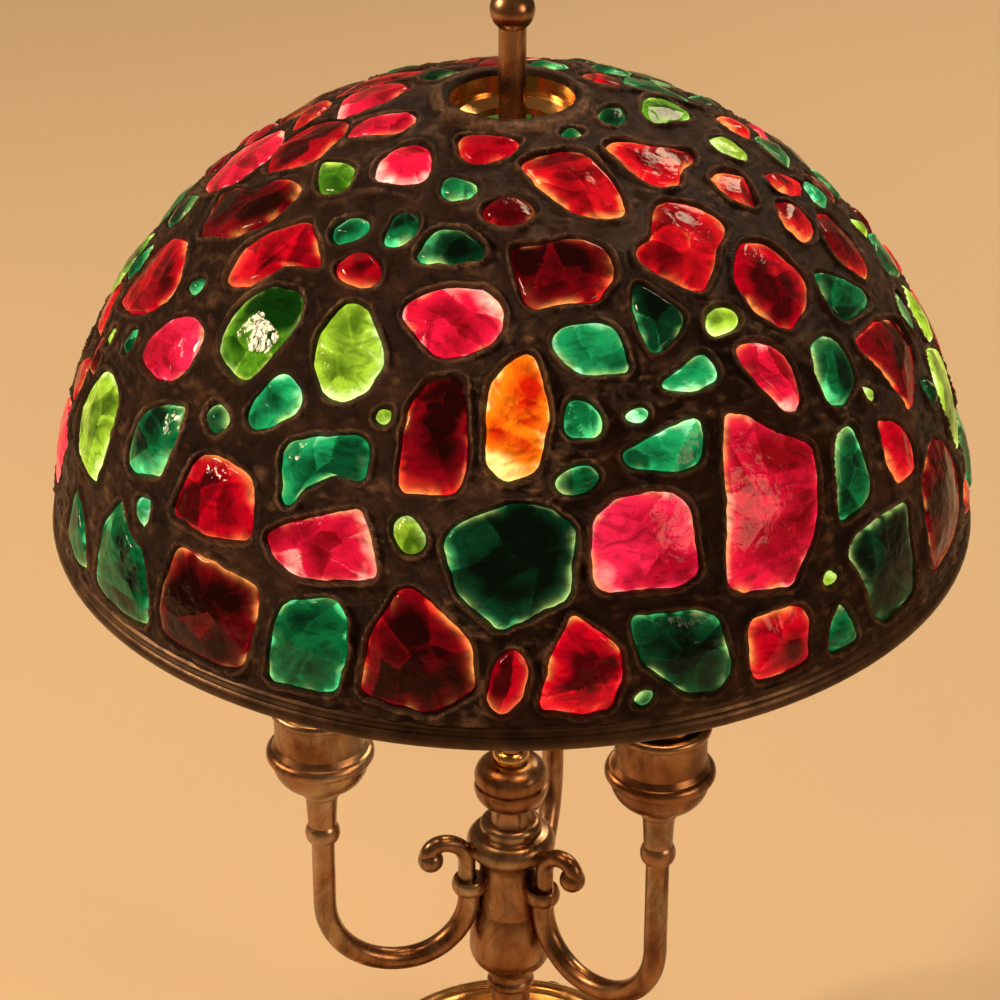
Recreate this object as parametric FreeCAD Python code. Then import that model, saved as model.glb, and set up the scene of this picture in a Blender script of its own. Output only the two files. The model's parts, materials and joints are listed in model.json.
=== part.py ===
"""Mosaic chunk-glass table lamp: a domed shade of leaded glass nuggets on a three-armed brass stem.

Millimetres, +Z up, origin at the middle of the felt that the lamp stands on, front towards -Y.
An azimuth is in degrees round the lamp's axis, from the front towards +X.
"""

import FreeCAD
import Part
import math
import os
import random

Vec = FreeCAD.Vector
UP = Vec(0, 0, 1)
AXIS_FOOT = Vec(0, 0, 0)

# Driving dimensions
RUN_GAP = 0.05          # radial gap of every sliding, turning or pushed-on fit
RIM_Z = 350.0           # height of the shade's lower edge
FOOT_R = 93.0
FELT_THICK = 1.5
WELL_Z = 26.0           # top of the base plate that the stem stands on
FOOT_WALL = 2.0
CORD_Z = 7.5            # middle of the cord's way out at the back of the foot
CORD_BUSH_R = 4.6
CORD_BORE_R = 3.2
PIPE_R = 5.0            # threaded lamp pipe through the lower stem
COLUMN_TOP = 84.0
HUB_BOTTOM = 90.0
HUB_TOP = 149.0
HUB_R = 15.1            # the hub's upper waist
VASE_TOP = 180.0
KNOB_TOP = 213.0
BUSH_TOP = 219.0
ROD_R = 5.8
BALL_Z = 580.0
BALL_R = 9.4
BALL_FLAT = 0.93        # the ball is this much of its radius high, each way
STUD_R = 2.5
STUD_LENGTH = 11.0

# Arms: name, azimuth, and how far the hand-bent arm's end stands above or below the drawing height
ARMS = (("right", 60.0, 7.0), ("left", -60.0, -7.0), ("rear", 180.0, 0.0))
TUBE_R = 5.3
TUBE_BORE = 3.8
ARM_ROOT_R = 20.5       # the arm's inner end, hooked down beside the hub
ARM_LOW_R = 50.0        # where the arm is lowest
ARM_LOW_Z = 110.5
ARM_R = 90.0            # the lights' distance from the lamp's axis
ARM_ROOT_TOP = 150.5
NOZZLE_Z = 197.5        # drawing height of the arm's outer end
FERRULE_R = 7.6
FERRULE_HEIGHT = 7.5
SCROLL_R = 4.1
SCROLL_BALL_R = 6.0

# Lights, in heights above the arm's outer end
NOZZLE_HEIGHT = 26.0
CUP_FLOOR = 29.0
CUP_TOP = 70.0
SOCKET_R = 17.0
SOCKET_BORE = 14.0
SOCKET_TOP = 96.0
KEY_Z = 80.0
KEY_R = 2.0
KEY_BOSS_R = 4.5
CAP_R = SOCKET_BORE - RUN_GAP
CAP_BOTTOM = 60.0
CAP_TOP = 90.0
BULB_R = 30.0
BULB_CENTRE = 142.0
BULB_WALL = 1.0

# Shade: a shell between two spheres about one centre
DOME_R = 199.8
DOME_DROP = 7.6         # how far the spheres' centre lies below the rim
DOME_RISE = 192.0       # crown height above the rim
LEAD_THICK = 5.5
RIM_HEIGHT = 11.0
APERTURE_R = 29.0
LIP_R = 37.5
SEAMS = (34.0, 59.0)            # angles down from the crown between the lead's rows of panels
PANELS_ROUND = (8, 12, 12)      # panels in each row
SEAM_TURN = 8.0                 # degrees that the first panel's edge is turned on from +X
LEAST_PANEL = 50.0              # cubic millimetres; a smaller crumb between a seam and a window is left out
COLLAR_R = 26.5
SEAT_Z = 529.0          # where the shade's collar sits on its spider
SEAT_R = 34.0
SEAT_BORE = 19.0
FLANGE_R = 35.6
STOP_Z = 488.0
STOP_HEIGHT = 12.0
STOP_R = 11.0
SCREW_R = 1.95
SCREW_AZIMUTH = 90.0
SPIDER_HUB_TOP = 512.0

# Glass: each nugget is a chunk with faceted edges, thicker than the lead
SHADE_FRONT = 13.4      # azimuth that the shade's own front is turned to
NUGGET_PROUD = 2.4
NUGGET_SHOULDER = 1.0   # depth below the dome's surface where the outer facets start
NUGGET_DEPTH = 7.0
NUGGET_BACK = 10.0
FACET_INSET = 3.2

DOME_CENTRE = Vec(0, 0, RIM_Z - DOME_DROP)


def segment_wire(outline, closed=True):
    """A wire in the XZ plane. A pair runs straight to (r, z); four values are an arc through the first pair."""
    edges = []
    here = Vec(outline[0][0], 0, outline[0][1])
    start = here
    for item in outline[1:]:
        there = Vec(item[-2], 0, item[-1])
        if len(item) == 4:
            edges.append(Part.Arc(here, Vec(item[0], 0, item[1]), there).toShape())
        else:
            edges.append(Part.LineSegment(here, there).toShape())
        here = there
    if closed:
        edges.append(Part.LineSegment(here, start).toShape())
    return Part.Wire(edges)


def turned(outline, raise_by=0.0, at_radius=0.0):
    """A lathe-turned solid about a vertical axis, which stands at_radius out along +X."""
    solid = Part.Face(segment_wire(outline)).revolve(AXIS_FOOT, UP, 360)
    solid.translate(Vec(at_radius, 0, raise_by))
    return solid


def turn_to(shape, azimuth):
    """Turns a shape drawn along +X round to an azimuth."""
    turned_shape = shape.copy()
    turned_shape.rotate(AXIS_FOOT, UP, azimuth - 90.0)
    return turned_shape


def rod_between(start, end, radius):
    """A round bar from one point to another."""
    run = end - start
    return Part.makeCylinder(radius, run.Length, start, run)


def pipe_along(path, start, direction, radius, bore=0.0):
    """A round bar or tube swept along a wire."""
    profile = Part.Wire(Part.makeCircle(radius, start, direction))
    outside = Part.Wire(path.Edges).makePipeShell([profile], True, False)
    if not bore:
        return outside
    hole = Part.Wire(Part.makeCircle(bore, start, direction))
    return outside.cut(Part.Wire(path.Edges).makePipeShell([hole], True, False))


# ---- Base ----

def base_foot():
    """The spun foot: a rolled edge, an ogee up to the crest ring, and a polished well inside it."""
    well_under = WELL_Z - FOOT_WALL
    foot = turned([
        (PIPE_R + RUN_GAP, WELL_Z), (PIPE_R + RUN_GAP, well_under), (34, well_under),
        (52, 25.2, 61.3, 30.2), (65.8, 33, 68.2, 29.5), (74.2, 15.6, 87, 8), (91, 6), (91, FELT_THICK),
        (FOOT_R, FELT_THICK), (FOOT_R, 6.5), (91.8, 9.2, 88, 10), (76.4, 17, 70.2, 30.5),
        (66, 35.3, 60.2, 32), (51, 27.2, 34, WELL_Z)])
    inlet = Part.makeCylinder(CORD_BUSH_R + RUN_GAP, 30, Vec(0, FOOT_R - 25, CORD_Z), Vec(0, 1, 0))
    return foot.cut(inlet)


def cord_bush():
    """The insulating bush at the back of the foot, where a cord would come out."""
    along = Vec(0, 1, 0)
    body = Part.makeCylinder(CORD_BUSH_R, 10, Vec(0, 86, CORD_Z), along)
    body = body.fuse(Part.makeCylinder(CORD_BUSH_R + 1.2, 2.4, Vec(0, FOOT_R + 0.4, CORD_Z), along))
    return body.cut(Part.makeCylinder(CORD_BORE_R, 20, Vec(0, 80, CORD_Z), along))


def base_weight():
    """The cast ring that fills the foot, cut away at the back for the cord."""
    ring = turned([(18, FELT_THICK), (84, FELT_THICK), (84, 6), (72, 14), (66, 21), (20, 21), (18, 19)])
    return ring.cut(Part.makeBox(16, 60, 12, Vec(-8, 30, 1)))


def base_felt():
    return turned([(0, 0), (FOOT_R - 0.6, 0), (FOOT_R, 0.6), (FOOT_R, FELT_THICK), (0, FELT_THICK)])


def base_washer():
    return turned([(PIPE_R + RUN_GAP, 22.3), (15, 22.3), (15, 24), (PIPE_R + RUN_GAP, 24)])


def base_nut():
    corners = [Vec(12.7 * math.cos(math.radians(60 * k)), 12.7 * math.sin(math.radians(60 * k)), 15.3)
               for k in range(7)]
    nut = Part.Face(Part.makePolygon(corners)).extrude(Vec(0, 0, 7))
    return nut.cut(Part.makeCylinder(PIPE_R + RUN_GAP, 20, Vec(0, 0, 10)))


# ---- Stem ----

def stem_pipe():
    """The threaded pipe that ties the foot, column and hub together, open for the wires."""
    pipe = Part.makeCylinder(PIPE_R, HUB_TOP - 12, Vec(0, 0, 12))
    return pipe.cut(Part.makeCylinder(PIPE_R - 1.4, HUB_TOP, Vec(0, 0, 0)))


def stem_column():
    bore = PIPE_R + RUN_GAP
    return turned([
        (bore, WELL_Z), (17, WELL_Z), (17.6, 27.6, 16, 29), (12.5, 30), (10.2, 33, 9.4, 38),
        (9.1, 60), (9.1, 78), (9.1, COLUMN_TOP), (bore, COLUMN_TOP)])


def stem_ring():
    bore = PIPE_R + RUN_GAP
    return turned([(bore, COLUMN_TOP), (9.6, COLUMN_TOP), (11.2, 87, 9.6, HUB_BOTTOM), (bore, HUB_BOTTOM)])


def arm_hub():
    """The hub that the arms hug: a narrow foot, a full belly and a straight upper waist."""
    bore = PIPE_R + RUN_GAP
    return turned([
        (bore, HUB_BOTTOM), (10.4, HUB_BOTTOM), (10.0, 93, 10.8, 96), (17.2, 101, 19.5, 110),
        (18.7, 121, 16, 131), (HUB_R, 139), (HUB_R, HUB_TOP), (bore, HUB_TOP)])


def stem_vase():
    bore = ROD_R + RUN_GAP
    return turned([
        (bore, HUB_TOP), (HUB_R, HUB_TOP), (15.2, 156, 17.0, 161), (20.8, 167.6, 17.4, 173.2),
        (14.5, 174), (14.5, 176.4), (13.6, 179, 11, VASE_TOP), (bore, VASE_TOP)])


def stem_knob():
    """A ball with a groove round its middle, on a short neck."""
    bore = ROD_R + RUN_GAP
    return turned([
        (bore, VASE_TOP), (9.9, VASE_TOP), (8.9, 184.5, 9.5, 189), (15.4, 193, 16.9, 200.4),
        (15.7, 201), (15.7, 202.4), (16.9, 203), (15.2, 209.6, 8.6, KNOB_TOP), (bore, KNOB_TOP)])


def rod_bush():
    bore = ROD_R + RUN_GAP
    return turned([(bore, KNOB_TOP), (7.6, KNOB_TOP), (8.4, 216, 6.6, BUSH_TOP), (bore, BUSH_TOP)])


def centre_rod():
    """The rod that carries the shade, with a threaded stud on top for the finial."""
    ball_top = BALL_Z + BALL_R * BALL_FLAT
    rod = Part.makeCylinder(ROD_R, ball_top - HUB_TOP, Vec(0, 0, HUB_TOP))
    return rod.fuse(Part.makeCylinder(STUD_R, STUD_LENGTH, Vec(0, 0, ball_top)))


def rod_ball():
    ball = Part.makeSphere(BALL_R, Vec(0, 0, BALL_Z))
    slab = Part.makeCylinder(BALL_R + 1, 2 * BALL_R * BALL_FLAT, Vec(0, 0, BALL_Z - BALL_R * BALL_FLAT))
    return ball.common(slab).cut(Part.makeCylinder(ROD_R + RUN_GAP, 40, Vec(0, 0, BALL_Z - 20)))


def finial():
    """A small turned urn that screws onto the rod's stud."""
    seat = BALL_Z + BALL_R * BALL_FLAT
    bore = STUD_R + RUN_GAP
    return turned([
        (bore, 0.1), (4.9, 0.1), (4.9, 1.8), (3.8, 3.6), (4.4, 5.6), (6.5, 7.2, 7.4, 9.6), (7.1, 11.6),
        (6.3, 13.4), (4.9, 15), (3.5, 17), (3.4, 18.8), (4.2, 19.8), (4.2, 21.0), (3.3, 22.4), (1.8, 23.2),
        (0, 23.2), (0, 12), (bore, 12)], seat)


# ---- Arms ----

def arm_path(rise):
    """The centre line of an arm: down beside the hub, out underneath, and up to the light."""
    inner = ARM_LOW_R - ARM_ROOT_R
    outer = ARM_R - ARM_LOW_R
    quarter = math.sqrt(0.5)
    return segment_wire([
        (ARM_ROOT_R, ARM_ROOT_TOP),
        (ARM_ROOT_R, ARM_LOW_Z + inner),
        (ARM_LOW_R - inner * quarter, ARM_LOW_Z + inner * (1 - quarter), ARM_LOW_R, ARM_LOW_Z),
        (ARM_LOW_R + outer * quarter, ARM_LOW_Z + outer * (1 - quarter), ARM_R, ARM_LOW_Z + outer),
        (ARM_R, NOZZLE_Z + rise)], closed=False)


def arm_tube(azimuth, rise):
    start = Vec(ARM_ROOT_R, 0, ARM_ROOT_TOP)
    return turn_to(pipe_along(arm_path(rise), start, Vec(0, 0, -1), TUBE_R, TUBE_BORE), azimuth)


def arm_ferrule(azimuth, neighbours):
    """The collar that clamps an arm's root against the hub."""
    low = ARM_ROOT_TOP - FERRULE_HEIGHT
    ring = turned([
        (TUBE_R + RUN_GAP, low), (FERRULE_R - 0.6, low), (FERRULE_R + 0.5, low + FERRULE_HEIGHT / 2,
         FERRULE_R - 0.6, ARM_ROOT_TOP), (TUBE_R + RUN_GAP, ARM_ROOT_TOP)], 0, ARM_ROOT_R)
    placed = turn_to(ring, azimuth)
    for neighbour in neighbours:
        placed = placed.cut(neighbour)
    return placed


def arm_scroll(azimuth, vase):
    """The curl that springs from an arm's root and ends in a ball, flattened where it hugs the vase."""
    foot_r = ARM_ROOT_R + 1.0
    bend = 12.0
    spring_z = 160.0
    quarter = math.sqrt(0.5)
    centre_r = foot_r + bend
    tip_bend = 7.0
    tip_centre_z = spring_z + bend - tip_bend
    path = segment_wire([
        (foot_r, ARM_ROOT_TOP), (foot_r, spring_z),
        (centre_r - bend * quarter, spring_z + bend * quarter, centre_r, spring_z + bend),
        (centre_r + tip_bend * quarter, tip_centre_z + tip_bend * quarter,
         centre_r + tip_bend, tip_centre_z)], closed=False)
    curl = pipe_along(path, Vec(foot_r, 0, ARM_ROOT_TOP), UP, SCROLL_R)
    ball = Part.makeSphere(SCROLL_BALL_R, Vec(centre_r + tip_bend - 1.5, 0, tip_centre_z - 1.0))
    return turn_to(curl.fuse(ball), azimuth).cut(vase)


# ---- Lights ----

def light_piece(outline, azimuth, rise):
    """A turned piece of a light, in heights above the arm's outer end."""
    return turn_to(turned(outline, NOZZLE_Z + rise, ARM_R), azimuth)


def nozzle(azimuth, rise):
    """The tapered cap that the arm's end is pushed into."""
    bore = TUBE_R + RUN_GAP
    return light_piece([
        (bore, -3.5), (7.2, -3.5), (8.0, 0, 7.2, 3.5), (6.5, 4.6), (7.3, 20.4), (9.2, 23.2, 8.0, NOZZLE_HEIGHT),
        (3, NOZZLE_HEIGHT), (3, 0), (bore, 0)], azimuth, rise)


def cup(azimuth, rise):
    """The bell-shaped cup round a lampholder: a round underside, a rolled flange and a straight neck."""
    return light_piece([
        (3, NOZZLE_HEIGHT), (7.5, NOZZLE_HEIGHT), (17.8, 30.6, 22.2, 41), (24.6, 44.4, 22.0, 47.6),
        (20.4, 50), (20.5, 65.5), (22.3, 67.8, 20.6, CUP_TOP), (19.2, CUP_TOP), (19.0, 46),
        (15.4, 34.4, 6.5, CUP_FLOOR), (3, CUP_FLOOR)], azimuth, rise)


def socket(azimuth, rise):
    """The lampholder: a shell with an open bore for the bulb's cap and a boss for the switch key."""
    shell = turned([
        (2.2, CUP_FLOOR), (5.6, CUP_FLOOR), (5.6, 34), (14.5, 40), (SOCKET_R, 45), (SOCKET_R, 92),
        (SOCKET_R + 1.2, 94, SOCKET_R, SOCKET_TOP), (SOCKET_BORE, SOCKET_TOP), (SOCKET_BORE, CAP_BOTTOM),
        (2.2, CAP_BOTTOM)])
    inward = Vec(-1, 0, 0)
    boss = Part.makeCylinder(KEY_BOSS_R, 6, Vec(0.8 - SOCKET_R, 0, KEY_Z), inward)
    shell = shell.fuse(boss.cut(Part.makeCylinder(SOCKET_R - 0.5, 200, Vec(0, 0, 0))))
    shell = shell.cut(Part.makeCylinder(KEY_R + RUN_GAP, 10, Vec(0.5 - SOCKET_R, 0, KEY_Z), inward))
    shell.translate(Vec(ARM_R, 0, NOZZLE_Z + rise))
    return turn_to(shell, azimuth)


def socket_key(azimuth, rise):
    """The flat turn key of a lampholder's switch, on the side towards the stem."""
    root = SOCKET_R - 0.2
    shaft = Part.makeCylinder(KEY_R, 14.2, Vec(-root, 0, KEY_Z), Vec(-1, 0, 0))
    paddle = Part.makeCylinder(6.5, 3.2, Vec(-root - 18.5, -1.6, KEY_Z), Vec(0, 1, 0))
    key = shaft.fuse(paddle)
    key.translate(Vec(ARM_R, 0, NOZZLE_Z + rise))
    return turn_to(key, azimuth)


def bulb_cap(azimuth, rise):
    return light_piece([
        (0, CAP_BOTTOM), (4.5, CAP_BOTTOM), (5, 62), (9.5, 64), (CAP_R, 67), (CAP_R, CAP_TOP), (0, CAP_TOP)],
        azimuth, rise)


def bulb_glass(azimuth, rise):
    """The blown envelope: a straight neck that opens into a ball."""
    inner = BULB_R - BULB_WALL
    neck = CAP_R - 0.2
    waist = 110.0
    waist_r = 17.2
    joint = math.radians(-35)
    joint_r = BULB_R * math.cos(joint)
    joint_z = BULB_CENTRE + BULB_R * math.sin(joint)
    inside_r = inner * math.cos(joint)
    inside_z = BULB_CENTRE + inner * math.sin(joint)
    diagonal = math.sqrt(0.5)
    return light_piece([
        (neck, CAP_TOP), (neck, 97), (waist_r, waist), (joint_r, joint_z),
        (BULB_R * diagonal, BULB_CENTRE + BULB_R * diagonal, 0, BULB_CENTRE + BULB_R),
        (0, BULB_CENTRE + inner), (inner * diagonal, BULB_CENTRE + inner * diagonal, inside_r, inside_z),
        (waist_r - BULB_WALL, waist + 0.4), (neck - BULB_WALL, 97.4), (neck - BULB_WALL, CAP_TOP)],
        azimuth, rise)


# ---- Shade holder ----

def stop_collar():
    """The collar that clamps on the rod and sets the shade's height."""
    ring = turned([
        (ROD_R + RUN_GAP, STOP_Z), (STOP_R - 1, STOP_Z), (STOP_R, STOP_Z + 1),
        (STOP_R, STOP_Z + STOP_HEIGHT - 1), (STOP_R - 1, STOP_Z + STOP_HEIGHT),
        (ROD_R + RUN_GAP, STOP_Z + STOP_HEIGHT)])
    hole = Part.makeCylinder(SCREW_R + RUN_GAP, 20, Vec(0, 0, STOP_Z + STOP_HEIGHT / 2), Vec(1, 0, 0))
    return turn_to(ring.cut(hole), SCREW_AZIMUTH)


def thumbscrew():
    """The clamping screw, with a waisted neck and a scalloped head."""
    middle = Vec(0, 0, STOP_Z + STOP_HEIGHT / 2)
    out = Vec(1, 0, 0)
    screw = Part.makeCylinder(SCREW_R, 10, middle + Vec(ROD_R + 0.2, 0, 0), out)
    head_r = 7.0
    head = Part.makeCylinder(head_r, 5, middle + Vec(14, 0, 0), out)
    for k in range(8):
        spoke = math.radians(45 * k)
        groove = Vec(13, head_r * math.cos(spoke), head_r * math.sin(spoke))
        head = head.cut(Part.makeCylinder(1.3, 8, middle + groove, out))
    return turn_to(screw.fuse(head), SCREW_AZIMUTH)


def shade_spider():
    """The three-legged holder that turns on the rod and carries the shade's collar."""
    hub_low = STOP_Z + STOP_HEIGHT + RUN_GAP
    seat_low = SEAT_Z - 3
    hub = turned([
        (ROD_R + RUN_GAP, hub_low), (10, hub_low), (10, SPIDER_HUB_TOP - 1.5), (8.5, SPIDER_HUB_TOP),
        (ROD_R + RUN_GAP, SPIDER_HUB_TOP)])
    seat = turned([
        (SEAT_BORE, seat_low), (SEAT_R, seat_low), (SEAT_R, SEAT_Z), (COLLAR_R - 0.2, SEAT_Z),
        (COLLAR_R - 0.2, SEAT_Z + 3), (24.0, SEAT_Z + 3), (SEAT_BORE, SEAT_Z)])
    spider = hub.fuse(seat)
    for k in range(3):
        leg = rod_between(Vec(8.4, 0, 506), Vec(25, 0, seat_low + 1), 2.2)
        spider = spider.fuse(turn_to(leg, 120.0 * k))
    return spider.removeSplitter()


# ---- Shade ----

def on_dome(radius, out_r):
    """Height of the sphere of this radius where it stands out_r from the axis."""
    return DOME_CENTRE.z + math.sqrt(radius ** 2 - out_r ** 2)


def dome_out(radius, height):
    """How far the sphere of this radius stands from the axis at a height above the rim."""
    return math.sqrt(radius ** 2 - (height + DOME_DROP) ** 2)


def shade_collar():
    """The brass tube that lines the shade's top opening, with a flange that sits on the spider."""
    low = SEAT_Z + RUN_GAP
    return turned([
        (COLLAR_R, low), (FLANGE_R, low), (FLANGE_R, low + 2.0), (APERTURE_R - RUN_GAP, low + 2.0),
        (APERTURE_R - RUN_GAP, 541), (COLLAR_R + 0.6, 542), (COLLAR_R, 541)])


def rim_band():
    """The grooved bronze band round the shade's lower edge."""
    top = RIM_Z + RIM_HEIGHT
    return turned([
        (dome_out(DOME_R - LEAD_THICK, RIM_HEIGHT), top), (dome_out(DOME_R, RIM_HEIGHT), top),
        (200.0, top - 1.0), (199.4, top - 2.4), (200.2, top - 3.6), (199.6, top - 4.8),
        (201.0, RIM_Z + 3.2, 199.2, RIM_Z), (195.6, RIM_Z), (193.7, RIM_Z + 2)])


def seam(polar):
    """The outer and inner ends of a seam across the lead, at an angle down from the dome's crown."""
    lean = math.radians(polar)
    return [(radius * math.sin(lean), DOME_CENTRE.z + radius * math.cos(lean))
            for radius in (DOME_R, DOME_R - LEAD_THICK)]


def along_dome(start, end, radius):
    """The arc between two points of a sphere about the dome's centre: the point halfway along, then the end."""
    lean = (math.atan2(start[0], start[1] - DOME_CENTRE.z) + math.atan2(end[0], end[1] - DOME_CENTRE.z)) / 2
    return (radius * math.sin(lean), DOME_CENTRE.z + radius * math.cos(lean), *end)


def lead_rows():
    """Half-sections of the lead's rows of panels, from the thick lip at the top opening down to the rim."""
    inner = DOME_R - LEAD_THICK
    lip = [(LIP_R, on_dome(DOME_R, LIP_R)), (APERTURE_R, on_dome(inner, APERTURE_R))]
    rim = [(dome_out(DOME_R, RIM_HEIGHT), RIM_Z + RIM_HEIGHT), (dome_out(inner, RIM_HEIGHT), RIM_Z + RIM_HEIGHT)]
    edges = [lip] + [seam(polar) for polar in SEAMS] + [rim]
    rows = []
    for upper, lower in zip(edges, edges[1:]):
        section = [lower[0], along_dome(lower[0], upper[0], DOME_R)]
        if upper is lip:
            section.append((33.5, 544.6, APERTURE_R, 543))
        rows.append(section + [upper[1], along_dome(upper[1], lower[1], inner)])
    return rows


def lead_panels(pockets):
    """The lead, panel by panel, with a window for each nugget."""
    panels = []
    for section, count in zip(lead_rows(), PANELS_ROUND):
        face = Part.Face(segment_wire(section))
        for k in range(count):
            panel = face.revolve(AXIS_FOOT, UP, 360 / count)
            panel.rotate(AXIS_FOOT, UP, 360 / count * k + SEAM_TURN)
            near = [pocket for pocket in pockets if pocket.BoundBox.intersect(panel.BoundBox)]
            panels += [piece for piece in panel.cut(near).Solids if piece.Volume > LEAST_PANEL]
    return panels


def direction(around, up):
    """Direction from the dome's centre to a place given round from the shade's front and up the dome."""
    azimuth = math.radians(SHADE_FRONT + around)
    height = DOME_RISE * math.sin(math.radians(up)) + DOME_DROP
    out = math.sqrt(DOME_R ** 2 - height ** 2)
    return Vec(out * math.sin(azimuth), -out * math.cos(azimuth), height).normalize()


def level(corners, middle, distance, inset=0.0):
    """The nugget's outline in the plane at this distance from the dome's centre, drawn in by an inset."""
    centre = DOME_CENTRE + middle * distance
    ring = [DOME_CENTRE + corner * (distance / corner.dot(middle)) for corner in corners]
    if not inset:
        return ring
    reach = sum((point - centre).Length for point in ring) / len(ring)
    shrink = max(1 - inset / reach, 0.5)
    return [centre + (point - centre) * shrink for point in ring]


def stacked(levels):
    """A solid with flat faces between similar outlines, one above the other."""
    faces = [Part.Face(Part.makePolygon(levels[0] + levels[0][:1]))]
    for below, above in zip(levels, levels[1:]):
        for k in range(len(below)):
            after = (k + 1) % len(below)
            quad = [below[k], below[after], above[after], above[k], below[k]]
            faces.append(Part.Face(Part.makePolygon(quad)))
    faces.append(Part.Face(Part.makePolygon(levels[-1] + levels[-1][:1])))
    shell = Part.Shell(faces)
    shell.sewShape()
    solid = Part.Solid(shell)
    if solid.Volume < 0:
        solid.reverse()
    return solid


def nugget_and_pocket(corners):
    """One chunk of glass and the straight-sided window that it fills."""
    total = Vec(0, 0, 0)
    for corner in corners:
        total = total + corner
    middle = total.normalize()
    nugget = stacked([
        level(corners, middle, DOME_R - NUGGET_BACK, FACET_INSET),
        level(corners, middle, DOME_R - NUGGET_DEPTH),
        level(corners, middle, DOME_R - NUGGET_SHOULDER),
        level(corners, middle, DOME_R + NUGGET_PROUD, FACET_INSET)])
    pocket = stacked([
        level(corners, middle, DOME_R - 22),
        level(corners, middle, DOME_R + 16)])
    return nugget, pocket


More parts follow.
